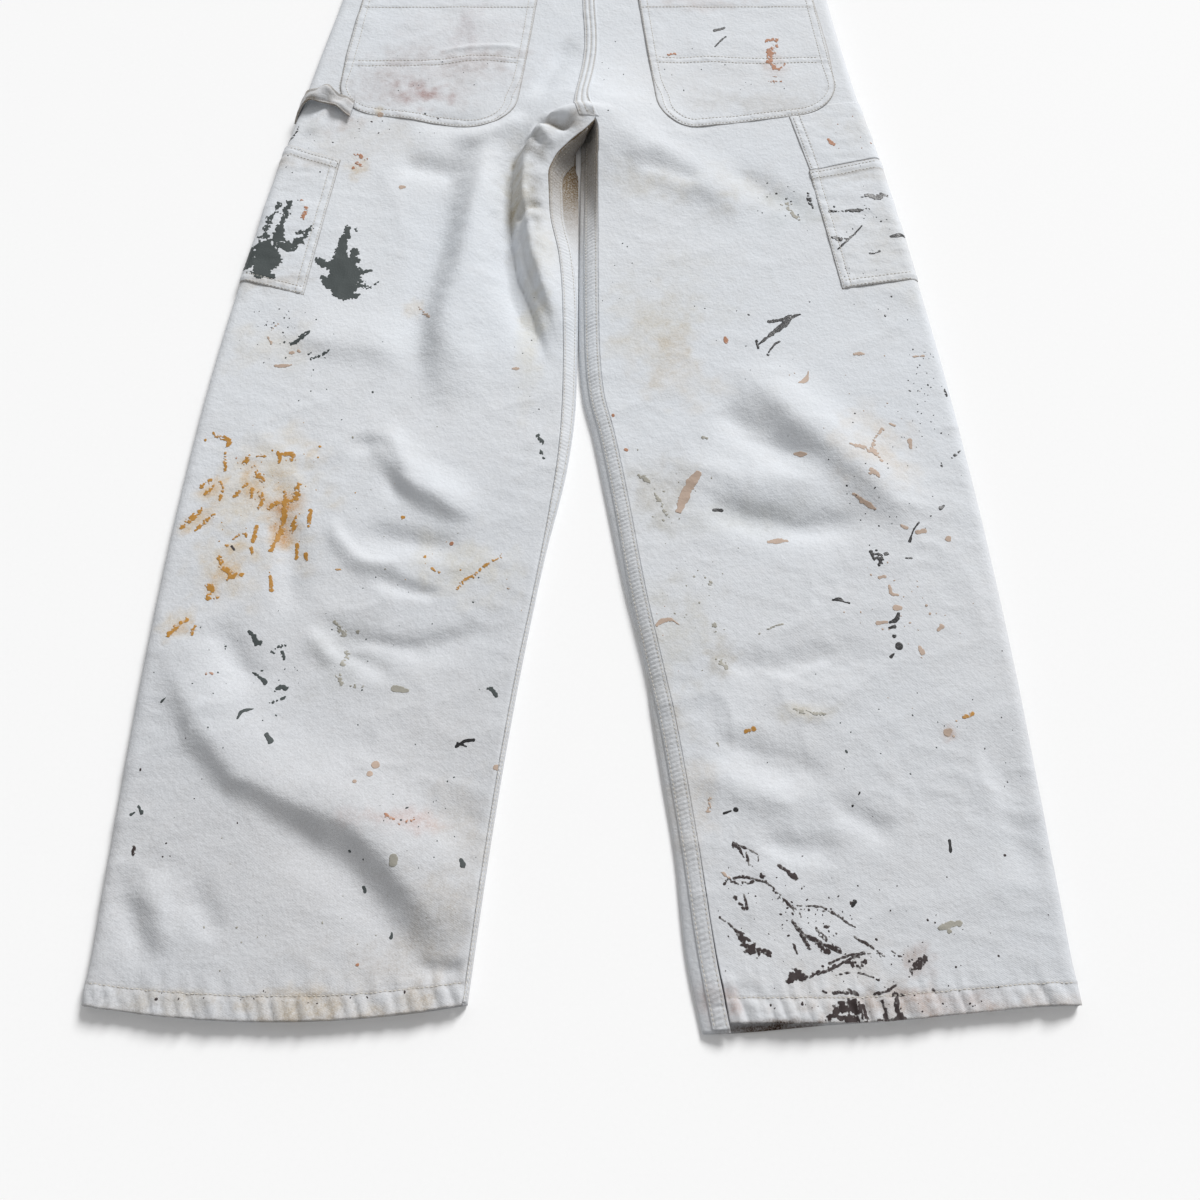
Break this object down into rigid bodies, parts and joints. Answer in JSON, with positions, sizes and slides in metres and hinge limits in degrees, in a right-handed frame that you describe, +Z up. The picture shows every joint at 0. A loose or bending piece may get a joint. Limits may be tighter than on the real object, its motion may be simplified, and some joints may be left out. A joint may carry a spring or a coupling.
{
  "type": "paint spattered bib overalls",
  "caption": "White cotton drill painter's bib overalls laid flat with the back up, worn and spattered with dried paint.",
  "frame": {"origin": "centre of the bounding box on the surface that the overalls lie on", "axes": "+X across the body to the wearer's right, +Y from the leg hems to the shoulder straps, +Z up out of the surface"},
  "size_m": [0.7042, 1.5772, 0.0345],
  "materials": {
    "drill": "washed white cotton drill, matt, with dried paint",
    "brass": "worn dull brass"
  },
  "bodies": {
    "root": {"back_left": "drill", "back_right": "drill", "front_left": "drill", "front_right": "drill", "back_bib": "drill", "front_bib": "drill", "seat_pocket_left": "drill", "seat_pocket_right": "drill", "tool_pocket": "drill", "rule_pocket_upper": "drill", "rule_pocket_lower": "drill", "hammer_loop": "drill", "strap_left": "drill", "strap_right": "drill", "buckle_left": "brass", "buckle_right": "brass", "bib_button_left": "brass", "bib_button_right": "brass", "side_button_left_lower": "brass", "side_button_left_upper": "brass", "side_button_right_lower": "brass", "side_button_right_upper": "brass"}
  },
  "joints": []
}
